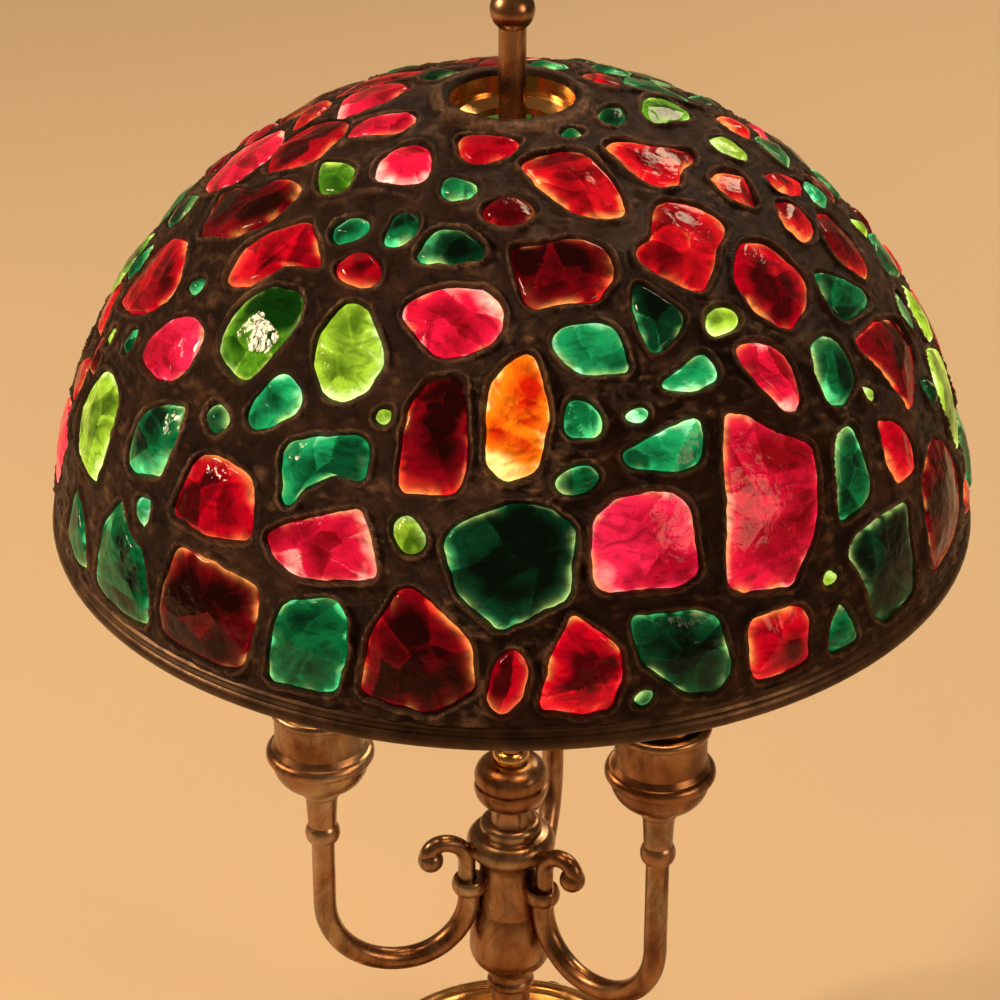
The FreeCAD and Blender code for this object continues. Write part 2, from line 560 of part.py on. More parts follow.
# Each nugget: its glass, then its corners as (degrees round from the shade's front, degrees up the dome)
FRONT_GLASS = (
    ("bottle", (-8.5, 25), (-7, 27), (0, 29.5), (4, 29), (7.5, 27), (6.5, 19), (-1.5, 15.3), (-6, 19)),
    ("garnet", (-13.5, 19), (-11.5, 19), (-5, 13.5), (-4.5, 8), (-9.5, 4.8), (-17.5, 6.3), (-16.3, 13.3)),
    ("ruby", (0, 13), (1.4, 11), (1, 7.5), (-1, 4.8), (-2.8, 6.5), (-1.8, 11)),
    ("ruby", (7, 16.8), (8.5, 15.3), (12, 12.3), (12.3, 9), (11, 5.4), (8, 4.8), (3, 5.8), (4.6, 11.5)),
    ("lime", (-14.5, 27.2), (-12.5, 27.2), (-11, 25), (-12, 23.5), (-13.8, 24), (-15, 26)),
    ("amber", (3, 47), (4, 45), (5, 39.5), (3.2, 33.8), (-1, 32), (-3.5, 34.3), (-3.5, 43), (-0.5, 46)),
    ("garnet", (-13, 43), (-8, 44), (-6.6, 36), (-6.6, 33), (-8, 30.6), (-15, 30.4), (-15.3, 40)),
    ("mint", (-32.2, 32.6), (-31, 33.3), (-22, 35.8), (-20, 34.3), (-20.3, 30.6), (-25, 31), (-28, 28.8),
     (-29, 26.5), (-30.5, 26.5)),
    ("cherry", (-31.8, 22), (-29.5, 23.6), (-19.8, 27.6), (-18, 24), (-16.6, 20), (-21, 19.3), (-27, 18.6),
     (-30, 20)),
    ("ruby", (-45.3, 27.6), (-41.5, 28.6), (-36.3, 27.6), (-35, 25.3), (-34.2, 20.8), (-40.3, 19.8),
     (-47, 20), (-46.3, 23.5)),
    ("garnet", (-44.6, 16.6), (-38.5, 16.4), (-31.6, 15.6), (-31.8, 10.6), (-33, 5.6), (-35, 4.8),
     (-40.5, 5), (-45, 5.4), (-46, 8.7), (-45.5, 12.5)),
    ("emerald", (-27.3, 15), (-21.6, 16.6), (-20, 15), (-19.8, 10.5), (-20.6, 5.6), (-28.8, 5),
     (-29, 8.5), (-28.3, 13)),
    ("emerald", (-57, 17.6), (-54, 14), (-50.8, 13), (-48.4, 7.5), (-48.4, 5.2), (-50, 4.8), (-56, 4.8),
     (-59.3, 5.4), (-60, 13)),
    ("mint", (-54, 19), (-51.5, 19.8), (-51.4, 16.8), (-52.4, 16.2)),
    ("emerald", (-70, 13), (-65.6, 10.5), (-62.4, 6.2), (-65, 4.9), (-71, 8)),
    ("lime", (-75, 27), (-72, 27.6), (-66.8, 27), (-65, 25), (-64.6, 20.5), (-65, 16.3), (-69, 17),
     (-73, 16.7), (-76.5, 18.3), (-78.6, 22.5)),
    ("emerald", (-51.4, 31.9), (-50.8, 28.8), (-51, 23.6), (-56.8, 21.6), (-58.4, 22.7), (-59, 26.5),
     (-57.8, 29), (-56, 30.3)),
    ("emerald", (-46, 34.2), (-43, 33.2), (-43.2, 31.8), (-45.2, 31), (-46.8, 32.7)),
    ("mint", (-37.8, 40), (-36.3, 40.3), (-33, 38.9), (-32.4, 37.2), (-35.6, 34.5), (-38.6, 33.3),
     (-40, 35), (-39.2, 37)),
    ("moss", (-47.5, 49.4), (-42.4, 49.9), (-40, 48.7), (-39.2, 46), (-42.2, 38.9), (-44, 38),
     (-49.2, 39.2), (-51.2, 40.7), (-52.2, 43.5), (-51, 46.8)),
    ("lime", (-31.8, 50), (-31, 50.7), (-27.6, 50.7), (-23.2, 47), (-21.3, 45), (-22.8, 41.2),
     (-25.5, 39.5), (-28.7, 39.7), (-31.8, 42), (-33.6, 46)),
    ("cherry", (-20.6, 51), (-19, 53), (-13.8, 54.6), (-5.6, 54.9), (-2.4, 53), (-2, 50.5), (-4.4, 48.2),
     (-10, 46.5), (-12.3, 46.5), (-16.8, 48.8)),
    ("garnet", (0.2, 60.7), (7, 61), (16.5, 61.5), (21.5, 59.3), (21, 56), (18.4, 54.9), (15.6, 53),
     (10, 53.6), (4, 52.6), (2.3, 54.4), (0.4, 58.3)),
    ("bottle", (24.3, 54), (25.8, 54), (28.2, 52), (31, 49.3), (29.7, 48), (24.2, 45.7), (23, 46.2),
     (22.7, 49), (23, 51.8)),
    ("mint", (7, 49), (9.5, 50), (16.7, 49.9), (18.2, 48), (18.4, 44), (13.6, 44.4), (10.2, 44.8), (7.4, 47)),
    ("emerald", (8.5, 41.2), (11, 40.8), (12.6, 39), (12, 37), (7.5, 37.3)),
    ("mint", (16.2, 38.5), (18, 39.4), (20, 39.1), (19, 38)),
    ("mint", (27.3, 37), (26.8, 34.5), (25.5, 32.3), (23, 31.8), (19, 32.4), (15.8, 33.2), (15.3, 34.7),
     (20, 35.8), (25, 36.9)),
    ("emerald", (6, 32.5), (9.5, 33.7), (11.6, 32.7), (10.5, 31.2), (7.4, 30.6), (6, 31.2)),
    ("blush", (10.4, 27.4), (13.5, 29.4), (18, 29.6), (21.7, 28.8), (22.9, 26.5), (22.5, 23), (22.7, 19.8),
     (20, 18.7), (14, 19.4), (11.2, 19), (9.7, 20.4)),
    ("cherry", (32, 36.6), (35.2, 35.3), (39, 32.1), (43.4, 29.8), (41.9, 24.5), (39.6, 20), (37, 17.4),
     (35.3, 15.2), (27.7, 16.4), (26.5, 17.6), (27, 21), (28, 24), (30, 33.3)),
    ("bottle", (13.9, 15.8), (17, 15.6), (22.6, 14.8), (24.5, 13.4), (25.1, 10.5), (25.7, 7.2), (24, 5),
     (20.5, 5.6), (17.4, 8.4), (15.1, 10.3), (14.5, 12.5)),
    ("emerald", (13.7, 5.5), (15.2, 6.6), (15.9, 5.9), (14.5, 5)),
    ("ruby", (28.6, 11.7), (29.6, 12.5), (35.7, 12), (36.8, 10.8), (36, 7.8), (36.2, 5.4), (31.5, 4.9),
     (28.8, 5.2)),
    ("emerald", (41.9, 10.5), (43, 8), (44.2, 4.9), (39.6, 5), (40.4, 8)),
    ("lime", (40.2, 14.3), (41.8, 14.7), (41.7, 13.8), (40.5, 13.3)),
    ("emerald", (48.3, 29), (52.4, 29.3), (51.5, 25.5), (51, 21.7), (49.7, 20.6), (44.8, 19.9), (45, 22),
     (47, 27.2)),
    ("bottle", (44.7, 15.6), (46.2, 17), (51, 17.4), (58, 16.9), (56.4, 13.5), (56, 6), (49.7, 4.9),
     (47.5, 6.8), (47, 11.5)),
    ("ruby", (57.5, 27.6), (61.3, 26), (63.1, 22), (61.8, 19.8), (58.6, 19.7), (56.7, 20.2), (57, 25)),
    ("garnet", (70.6, 19.7), (73.6, 16.8), (76.5, 12), (76.5, 9.5), (70, 6.7), (63.2, 5.3), (60.6, 7.5),
     (62, 12), (62.5, 16.6), (66, 19.3)),
    ("lime", (57.6, 32.3), (58.8, 31.4), (59.2, 30), (58, 30.6)),
    ("bottle", (73.6, 26.2), (76.4, 25.2), (76.8, 22.4), (74, 22.6)),
    ("garnet", (71.8, 35.8), (76.8, 33.8), (77.2, 31), (74.5, 28.6), (68.6, 26), (66, 25.6), (65.3, 30),
     (62.5, 34.8), (61.6, 36.7), (65, 37)),
    ("emerald", (55.5, 40), (57.4, 39), (57.3, 36), (56.7, 33.7), (53, 32.2), (50, 33), (50.4, 37),
     (52.2, 39.5)),
    ("emerald", (65.2, 46.3), (68, 44), (72.8, 39.9), (71.6, 38.7), (63.4, 39.7), (61.6, 41.7), (63, 45)),
    ("ruby", (54.2, 54.4), (58.8, 52.8), (60.2, 50), (60, 46.2), (56.2, 44.2), (50.8, 43), (47.6, 44.4),
     (45.8, 47), (45.8, 50.6), (49.2, 53)),
    ("cherry", (40.3, 43.6), (43.4, 42.3), (45.5, 40.8), (45.6, 37.8), (44.2, 34.4), (41.5, 34.8),
     (40.2, 37.3), (38.7, 40), (37.6, 42), (38.4, 43.2)),
    ("lime", (37, 48.5), (39.8, 48.5), (41.2, 47), (40, 46), (35, 45.8), (35, 47.3)),
    ("mint", (23.6, 42), (27, 42.8), (31, 44.1), (32.3, 43.2), (32.6, 41), (28, 40.4), (24, 41.3)),
    ("scarlet", (43, 64), (49.8, 61.6), (54, 57.7), (50.4, 56.4), (46.6, 55.7), (43, 53.7), (38, 51.6),
     (34.9, 52.4), (28.2, 57), (28.8, 58.8), (34.2, 59.5), (38.6, 62.6)),
    ("scarlet", (3.6, 74.3), (14, 75.6), (26, 75.8), (33, 74.2), (33.4, 71), (33.4, 67.6), (31.6, 64.2),
     (26.6, 64), (19.4, 65.3), (15.3, 67), (10, 70)),
    ("garnet", (-8.3, 65.8), (-6, 67.7), (0.6, 68.4), (6.2, 67), (5, 65.5), (0, 64.4), (-4.8, 64.2)),
    ("bottle", (-21.3, 58), (-20.8, 60), (-19, 62.6), (-11.8, 62.6), (-7.4, 60.7), (-6.9, 59.2),
     (-13.8, 58.5)),
    ("emerald", (-31, 60.2), (-31.2, 63.6), (-27.2, 64.4), (-24.8, 62.6), (-25.8, 60.2), (-29.3, 59.2)),
    ("mint", (-43.6, 58.2), (-44.4, 60), (-41, 61.6), (-37.4, 61.3), (-36.8, 59.8), (-41.3, 57.5)),
    ("ruby", (-38, 54.7), (-36, 57.3), (-31, 57), (-27.3, 55), (-29.7, 53.4), (-34.5, 53.4)),
    ("ruby", (-59.8, 47.6), (-61.4, 51), (-58.8, 54.4), (-52.5, 58.4), (-45.6, 55.9), (-41.6, 53.8),
     (-46.6, 53.2), (-50.2, 52.2), (-52.2, 48.6), (-58.2, 46.8)),
    ("garnet", (-76, 48), (-79, 49), (-86.5, 52), (-81.7, 54.9), (-75, 56), (-72, 60.5), (-66.5, 61.2),
     (-63, 60.2), (-62.6, 55.6), (-66.8, 52)),
    ("ruby", (-84, 33), (-85.8, 36), (-87.6, 40), (-84, 44), (-79, 45.6), (-73.6, 44.4), (-70.6, 42.3),
     (-69.6, 40.5), (-72.6, 37.2), (-78, 34.8)),
    ("emerald", (-67, 43.9), (-64.9, 45.4), (-63, 44.1), (-65.2, 43)),
    ("blush", (-67, 33.4), (-66.7, 36), (-64.6, 39), (-61, 40.9), (-56.3, 40.5), (-55, 38.8), (-55, 35.6),
     (-57, 33.6), (-60.4, 33), (-64.8, 32.7)),
    ("emerald", (-73.4, 33.8), (-71.6, 34.6), (-70.4, 32.5), (-71.5, 31.2)),
    ("lime", (-79.6, 31.6), (-77.8, 31.6), (-77.8, 29.3), (-79, 29)),
    ("scarlet", (-91.6, 33), (-88, 33), (-84.6, 29.6), (-85.4, 27), (-90, 27.2), (-92.6, 30)),
    ("ruby", (-85.8, 23.6), (-82.2, 24.3), (-81.4, 21), (-82, 17.8), (-86, 17.8), (-87.6, 21)),
    ("emerald", (-98.4, 40.8), (-99, 44.5), (-93, 48), (-90, 46), (-91.4, 43.2)),
    ("moss", (-67.6, 64.5), (-69, 65.3), (-59.8, 67.3), (-54.6, 66), (-52, 63.9), (-57, 62.5), (-61.2, 63.2)),
    ("cherry", (-46.8, 67.7), (-51.4, 69.6), (-51.4, 73), (-49, 75.2), (-40, 74.5), (-32.2, 71.2),
     (-32.2, 69.2), (-39.5, 68.2)),
    ("emerald", (-23.6, 69.4), (-23, 70.9), (-11.8, 70.1), (-15.5, 67.8), (-20.8, 67.7)),
    ("ruby", (-31.5, 78), (-20.5, 79.2), (4.5, 78.7), (-5, 75.4), (-14.6, 74.3), (-21.6, 74.9)),
    ("cherry", (-97, 68.2), (-93.5, 70.4), (-96, 73.6), (-115, 76), (-120, 75), (-121, 70.4), (-113, 67.2)),
    ("cherry", (-78.4, 69.4), (-84, 70.8), (-82, 74), (-77, 78), (-66.5, 77), (-63, 75.2), (-68, 72.6),
     (-74, 70.5)),
    ("scarlet", (-100, 61.2), (-111, 61.6), (-118, 62.5), (-116.5, 64.5), (-105.5, 64.8), (-99.5, 63.4)),
    ("garnet", (-112, 44.5), (-112, 48.6), (-104, 49.6), (-103.4, 46.5)),
    ("ruby", (115, 75), (120, 77.8), (136, 77.8), (140, 75.4), (128, 73.6)),
    ("emerald", (62, 77.2), (70, 79), (86, 78.5), (84, 76.7), (72, 76.3)),
    ("emerald", (30, 78.4), (32, 79.4), (44, 79), (42, 78)),
    ("moss", (80.4, 72.8), (90, 74), (106, 72.8), (111, 69.8), (98, 67.6), (90.5, 69.6)),
    ("lime", (85.3, 65.4), (90, 64.2), (89.6, 60.6), (85.6, 60.2), (82.4, 61.9), (81.2, 64.2)),
    ("scarlet", (64.4, 62.9), (70, 62.9), (74.8, 61.3), (72.4, 59.3), (67, 57), (64.6, 57.9), (62.6, 60.4)),
    ("scarlet", (45.6, 74.9), (56, 73.7), (60, 71), (72, 66.9), (68, 66.2), (60, 66.8), (54, 65.2),
     (46.4, 66.6), (44.9, 68), (44.3, 71.5)),
    ("scarlet", (82.4, 57.6), (86, 56), (90.4, 52.4), (86, 52.2), (79.8, 54.9), (79.8, 56.4)),
    ("scarlet", (73.8, 55.2), (78, 53.2), (75.2, 49.6), (71.8, 49.3), (68.8, 50.2), (69.2, 52.8)),
    ("garnet", (84, 49.4), (87, 47), (83.8, 43.6), (78.2, 40), (76.4, 41.4), (73.8, 45), (76.2, 47.8)),
    ("emerald", (108, 55.8), (106, 53.7), (98.4, 53), (94, 54.4), (95.8, 56.6), (101, 57.6)),
    ("garnet", (101.4, 50.4), (96.6, 49.8), (93.4, 46.6), (97, 45.4), (101.4, 47.2)),
    ("lime", (84.4, 31), (91.4, 32.6), (95, 29), (89.6, 24.6), (85.4, 26.4)),
    ("lime", (92.3, 43), (96.4, 42.6), (95.6, 39.8), (92.3, 40.3)),
    ("lime", (-19.9, 38.4), (-18.8, 39.5), (-18, 38.8), (-19, 37.5)),
)

# The back of the shade is filled with chunks of two sizes, laid where the front's glass leaves room
REAR_START = 79.0       # degrees round from the shade's front, each way
REAR_SEED = 11
REAR_SIZES = ((17.5, 900), (7.0, 900))      # rough radius of a chunk, and how many places are tried for it
REAR_LOW = 5.0
REAR_HIGH = 78.5
REAR_COLOURS = ("ruby", "garnet", "emerald", "cherry", "bottle", "mint", "lime", "scarlet", "ruby", "emerald",
                "blush", "garnet", "moss", "ruby", "emerald")
LEAD_GAP = 4.4          # least width of lead between two chunks
LEAST_EDGE = 2.6


def clipped(outline, across, along, limit):
    """The part of a flat outline where across * x + along * y is at most the limit."""
    kept = []
    for here, there in zip(outline, outline[1:] + outline[:1]):
        over_here = across * here[0] + along * here[1] - limit
        over_there = across * there[0] + along * there[1] - limit
        if over_here <= 0:
            kept.append(here)
        if over_here * over_there < 0:
            share = over_here / (over_here - over_there)
            kept.append((here[0] + share * (there[0] - here[0]), here[1] + share * (there[1] - here[1])))
    return kept


def tidied(outline):
    """The outline without its very short edges."""
    kept = []
    for here in outline:
        if not kept or math.dist(here, kept[-1]) > LEAST_EDGE:
            kept.append(here)
    while len(kept) > 2 and math.dist(kept[0], kept[-1]) < LEAST_EDGE:
        kept.pop()
    return kept


def rear_places(rng, front):
    """Where the rear chunks go: (direction, rough radius, round, up) for each."""
    laid = []
    for size, tries in REAR_SIZES:
        for _ in range(tries):
            around = rng.uniform(REAR_START, 360 - REAR_START)
            up = math.degrees(math.asin(rng.uniform(0.11, 0.978)))
            place = direction(around, up)
            clear = all((place - other).Length * DOME_R > 0.92 * (size + other_size) + LEAD_GAP
                        for other, other_size, _, _ in laid)
            if clear and all(room_beside(place, size, corners) for corners in front):
                laid.append((place, size, around, up))
    return laid


def room_beside(place, size, corners):
    """Whether a chunk of this size fits beside a front nugget with these corners."""
    middle = Vec(0, 0, 0)
    for corner in corners:
        middle = middle + corner
    middle = middle.normalize()
    if (place - middle).Length * DOME_R < 0.5 * size + max((c - middle).Length for c in corners) * DOME_R:
        return min((place - corner).Length for corner in edge_samples(corners)) * DOME_R > 0.75 * size + LEAD_GAP \
            and (place - middle).Length > min((corner - middle).Length for corner in corners)
    return True


def edge_samples(corners):
    """Points along a nugget's edges."""
    return [here + (there - here) * (k / 4) for here, there in zip(corners, corners[1:] + corners[:1])
            for k in range(4)]


def rear_outline(rng, seat, laid, front):
    """A rough octagon, cut back to leave lead between it and everything beside it."""
    place, size, around, up = seat
    east = Vec(-place.y, place.x, 0).normalize()
    north = place.cross(east)
    turn = rng.uniform(0, 45)
    outline = [(size * rng.uniform(1.12, 1.5) * math.cos(math.radians(turn + 45 * k)),
                size * rng.uniform(1.12, 1.5) * math.sin(math.radians(turn + 45 * k))) for k in range(8)]
    walls = [(other, (size ** 2 - other_size ** 2, 0.5, LEAD_GAP / 2))
             for other, other_size, _, _ in laid if other is not place]
    walls += [(sample, (0, 1.0, LEAD_GAP)) for corners in front for sample in edge_samples(corners)]
    walls += [(direction(around, edge), (0, 1.0, 0)) for edge in (REAR_LOW, REAR_HIGH)]
    for wall, (power, share, gap) in walls:
        if wall.dot(place) < 0.85:
            continue
        across = DOME_R * wall.dot(east) / wall.dot(place)
        along = DOME_R * wall.dot(north) / wall.dot(place)
        reach = math.hypot(across, along)
        limit = share * reach + 0.5 * power / reach - gap
        outline = clipped(outline, across / reach, along / reach, limit)
    return [place + east * (x / DOME_R) + north * (y / DOME_R) for x, y in tidied(outline)]


def rear_glass(front):
    """The chunks at the back, the same every time: (colour, corners) for each that is worth setting."""
    rng = random.Random(REAR_SEED)
    laid = rear_places(rng, front)
    chunks = []
    for seat in laid:
        corners = [corner.normalize() for corner in rear_outline(rng, seat, laid, front)]
        colour = rng.choice(REAR_COLOURS)
        if len(corners) > 3:
            chunks.append((colour, corners))
    return chunks


def glazing():
    """All the glass by colour, and the lead round it."""
    by_colour = {}
    pockets = []
    front = [(colour, [direction(*place) for place in places]) for colour, *places in FRONT_GLASS]
    rear = rear_glass([corners for _, corners in front])
    for colour, corners in front + rear:
        nugget, pocket = nugget_and_pocket(corners)
        by_colour.setdefault(colour, []).append(nugget)
        pockets.append(pocket)
    return by_colour, Part.makeCompound(lead_panels(pockets))


def build():
    """Every node of the lamp by name."""
    hub = arm_hub()
    vase = stem_vase()
    nodes = {
        "base_foot": base_foot(), "base_weight": base_weight(), "base_felt": base_felt(),
        "base_washer": base_washer(), "base_nut": base_nut(), "cord_bush": cord_bush(),
        "stem_pipe": stem_pipe(), "stem_column": stem_column(), "stem_ring": stem_ring(), "arm_hub": hub,
        "stem_vase": vase, "stem_knob": stem_knob(), "rod_bush": rod_bush(), "centre_rod": centre_rod(),
        "rod_ball": rod_ball(), "finial": finial(), "stop_collar": stop_collar(), "thumbscrew": thumbscrew(),
        "shade_spider": shade_spider(), "shade_collar": shade_collar(), "rim_band": rim_band()}
    for name, azimuth, rise in ARMS:
        nodes["arm_" + name] = arm_tube(azimuth, rise)
        nodes["ferrule_" + name] = arm_ferrule(azimuth, (hub, vase))
        nodes["scroll_" + name] = arm_scroll(azimuth, vase)
        nodes["nozzle_" + name] = nozzle(azimuth, rise)
        nodes["cup_" + name] = cup(azimuth, rise)
        nodes["socket_" + name] = socket(azimuth, rise)
        nodes["key_" + name] = socket_key(azimuth, rise)
        nodes["bulb_cap_" + name] = bulb_cap(azimuth, rise)
        nodes["bulb_glass_" + name] = bulb_glass(azimuth, rise)
    glass, lead = glazing()
    nodes["lead_matrix"] = lead
    for colour, nuggets in glass.items():
        nodes[colour + "_glass"] = Part.makeCompound(nuggets)
    return nodes


def main():
    os.makedirs("parts", exist_ok=True)
    for name, shape in build().items():
        shape.exportStep(os.path.join("parts", name + ".step"))
        print(name, "solids", len(shape.Solids), "valid", shape.isValid(), "volume", round(shape.Volume))


main()
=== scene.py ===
"""Looks of the mosaic glass table lamp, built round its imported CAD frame. Metres, +Z up, front towards -Y."""

import json
import math

import bmesh
import bpy
import numpy as np
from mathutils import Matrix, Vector


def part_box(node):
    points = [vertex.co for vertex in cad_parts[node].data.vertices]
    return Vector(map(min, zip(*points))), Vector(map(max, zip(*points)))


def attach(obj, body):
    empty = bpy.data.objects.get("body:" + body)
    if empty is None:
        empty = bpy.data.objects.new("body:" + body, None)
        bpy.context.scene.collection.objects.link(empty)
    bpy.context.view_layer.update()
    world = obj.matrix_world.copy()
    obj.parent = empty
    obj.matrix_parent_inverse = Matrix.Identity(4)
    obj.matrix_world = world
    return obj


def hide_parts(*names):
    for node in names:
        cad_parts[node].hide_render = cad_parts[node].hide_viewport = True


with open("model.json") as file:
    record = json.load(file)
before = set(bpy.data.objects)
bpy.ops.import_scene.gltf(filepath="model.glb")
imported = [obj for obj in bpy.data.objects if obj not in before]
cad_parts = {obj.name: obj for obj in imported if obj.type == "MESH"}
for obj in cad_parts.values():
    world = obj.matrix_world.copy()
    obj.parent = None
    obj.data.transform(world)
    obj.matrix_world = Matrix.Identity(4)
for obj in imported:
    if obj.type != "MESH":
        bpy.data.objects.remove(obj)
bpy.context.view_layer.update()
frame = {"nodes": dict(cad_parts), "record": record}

MM = 0.001
WELD = 1e-6

# The shade's frame: its lead lies between two spheres about one centre
rim_low, rim_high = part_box("rim_band")
lead_low, lead_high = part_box("lead_matrix")
collar_low, collar_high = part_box("shade_collar")
DOME_DROP = 7.6 * MM        # how far the spheres' centre lies below the rim
DOME_CENTRE = np.array((0.0, 0.0, rim_low.z - DOME_DROP))
DOME_R = math.hypot(lead_high.x, lead_low.z - DOME_CENTRE[2])
LEAD_THICK = 5.5 * MM
OPENING_R = 29.0 * MM
SHOULDER_DROP = 3.4 * MM    # from a chunk's flat top down to its full outline
LEVEL_SLACK = 0.2 * MM
GLASS_DEPTH = 10.0 * MM
BACK_BRIGHT = 0.12          # how bright a chunk's rear side is, on the scale of the ramp in glass_piece
EDGE_SHARE = 0.75

# Surface detail
LEAD_STEP = 1.15 * MM
INNER_STEP = 2.3 * MM
FACET_FALL = 3.4 * MM       # how far a chunk's broken top falls from its middle to its edge
BEAD_OUT = 1.7 * MM         # from a window's edge to the top of the bead round it
BEAD_WIDE = 0.95 * MM
BEAD_HIGH = 2.2 * MM
WINDOW_LAP = 1.3 * MM       # how far the lead runs in under the glass
EDGE_STEP = 0.9 * MM
CORNER_CUT = 2.0 * MM
EDGE_GROWTH = 1.3 * MM       # how far a chunk spreads over the lead beyond the frame's straight-edged one
LIP_WIDE = 7.0 * MM
LIP_HIGH = 3.0 * MM
LIP_ROLL = ((28.2 * MM, 1.4 * MM), (26.9 * MM, 0.9 * MM), (26.2 * MM, -1.6 * MM))   # (radius, height over the collar)

# Painted glow of each glass, standing in for the bulbs' light shining through it: (in its depth, in most of it, at its
# thin and chipped edges)
GLASS_LIGHT = {
    "ruby": ((0.05, 0.000, 0.001), (0.50, 0.000, 0.008), (1.00, 0.045, 0.03)),
    "garnet": ((0.012, 0.000, 0.000), (0.15, 0.000, 0.003), (0.80, 0.02, 0.012)),
    "cherry": ((0.22, 0.001, 0.004), (0.74, 0.006, 0.034), (1.30, 0.55, 0.42)),
    "blush": ((0.40, 0.002, 0.015), (0.86, 0.016, 0.060), (1.25, 0.45, 0.35)),
    "scarlet": ((0.14, 0.000, 0.002), (0.64, 0.004, 0.010), (1.20, 0.30, 0.07)),
    "amber": ((0.60, 0.010, 0.001), (1.10, 0.20, 0.004), (1.40, 1.05, 0.30)),
    "emerald": ((0.000, 0.010, 0.003), (0.002, 0.11, 0.026), (0.10, 0.75, 0.24)),
    "bottle": ((0.000, 0.003, 0.001), (0.001, 0.033, 0.009), (0.05, 0.42, 0.12)),
    "mint": ((0.001, 0.05, 0.013), (0.01, 0.32, 0.090), (0.45, 1.10, 0.55)),
    "lime": ((0.06, 0.12, 0.004), (0.32, 0.50, 0.025), (0.85, 1.05, 0.36)),
    "moss": ((0.002, 0.03, 0.001), (0.09, 0.26, 0.008), (0.85, 1.00, 0.14)),
}

# Thin chips at an edge lose most of the glass's colour and glow with a bright painted edge light: (red glasses, green
# glasses)
EDGE_LIGHT = {True: (1.25, 0.46, 0.10), False: (0.80, 1.10, 0.30)}

# Places where painted light makes a chunk brighter, or painted shade darker, than its neighbours: degrees round
# from the shade's front, degrees up the dome, size, and how much the brightness changes
SHADE_FRONT = 13.4
DOME_RISE = 192.0 * MM
GLOWS = (
    (-27.0, 20.5, 8.0 * MM, 0.95), (-1.5, 34.0, 8.0 * MM, 0.65), (-2.5, 41.0, 5.0 * MM, 0.45),
    (3.0, 43.0, 7.0 * MM, -0.45), (-48.5, 47.0, 9.0 * MM, -0.55), (-42.5, 41.5, 7.0 * MM, 0.40),
    (-28.0, 46.0, 11.0 * MM, 0.25), (11.5, 21.0, 7.0 * MM, 0.60), (21.0, 24.0, 5.0 * MM, 0.45),
    (34.0, 26.0, 15.0 * MM, 0.25), (41.0, 57.5, 8.0 * MM, 0.60), (0.0, 22.0, 12.0 * MM, -0.35),
    (-40.0, 11.0, 11.0 * MM, -0.25), (-11.0, 36.0, 12.0 * MM, -0.30), (11.0, 57.0, 11.0 * MM, -0.30),
    (-12.0, 50.5, 8.0 * MM, 0.25), (53.0, 11.0, 11.0 * MM, -0.35), (19.0, 11.0, 9.0 * MM, -0.20),
)


# ---- Small maths ----

NOISE_CELLS = 48
noise_table = np.random.default_rng(5).uniform(-1, 1, (NOISE_CELLS,) * 3)


def noise(points, cell):
    """Smooth random values from -1 to 1, changing over about one cell (in metres)."""
    scaled = points / cell
    corner = np.floor(scaled).astype(int)
    part = scaled - corner
    part = part * part * (3 - 2 * part)
    total = np.zeros(len(points))
    for step in np.ndindex(2, 2, 2):
        weight = np.prod(np.where(np.array(step), part, 1 - part), axis=1)
        x, y, z = ((corner + step) % NOISE_CELLS).T
        total += weight * noise_table[x, y, z]
    return total


def smooth_step(low, high, value):
    share = np.clip((value - low) / (high - low), 0, 1)
    return share * share * (3 - 2 * share)


def make_mesh(name, points, faces, body, replaced):
    """A smooth-shaded piece that rides on a body and stands for CAD nodes."""
    mesh = bpy.data.meshes.new(name)
    mesh.from_pydata(points, [], faces)
    mesh.shade_smooth()
    piece = bpy.data.objects.new(name, mesh)
    bpy.context.scene.collection.objects.link(piece)
    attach(piece, body)
    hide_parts(*replaced)
    return piece


def put_values(piece, name, values):
    attribute = piece.data.attributes.new(name, "FLOAT", "POINT")
    attribute.data.foreach_set("value", np.asarray(values, np.float32))


def put_colours(piece, name, colours):
    attribute = piece.data.attributes.new(name, "FLOAT_COLOR", "POINT")
    full = np.ones((len(colours), 4), np.float32)
    full[:, :3] = colours
    attribute.data.foreach_set("color", full.ravel())


# ---- Chunk outlines, read from the frame ----

class Chunk:
    """One glass chunk: its flat frame (middle, east, north) and its rounded outline, in metres from the middle."""

    def __init__(self, corners, middle):
        self.middle = middle
        self.east = np.cross((0, 0, 1), middle)
        self.east /= np.linalg.norm(self.east)
        self.north = np.cross(middle, self.east)
        outline = evened(rounded(self.flat(corners)))
        length = np.linalg.norm(outline, axis=1)[:, None]
        ragged = noise(self.solid(outline, np.zeros(len(outline))), 4.5 * MM)[:, None]
        self.outline = outline * (1 + (EDGE_GROWTH + 0.55 * MM * ragged) / length)
        self.reach = length.max()

    def flat(self, directions):
        """Where directions from the dome's centre meet the flat that touches the dome at the chunk's middle."""
        depth = directions @ self.middle
        return np.stack((directions @ self.east, directions @ self.north), axis=1) * (DOME_R / depth)[:, None]

    def solid(self, flat_points, height):
        """Points at heights above the dome, over places on the flat."""
        line = (self.middle[None] + flat_points[:, :1] * self.east[None] / DOME_R
                + flat_points[:, 1:] * self.north[None] / DOME_R)
        line /= np.linalg.norm(line, axis=1)[:, None]
        return DOME_CENTRE + line * (DOME_R + height)[:, None]


def rounded(ring):
    """The ring with each corner cut back a little, twice over."""
    for cut in (CORNER_CUT, CORNER_CUT / 3):
        after = np.roll(ring, -1, axis=0)
        length = np.linalg.norm(after - ring, axis=1)[:, None]
        share = np.minimum(cut / length, 0.3)
        ring = np.stack((ring + (after - ring) * share, after + (ring - after) * share), axis=1).reshape(-1, 2)
    return ring


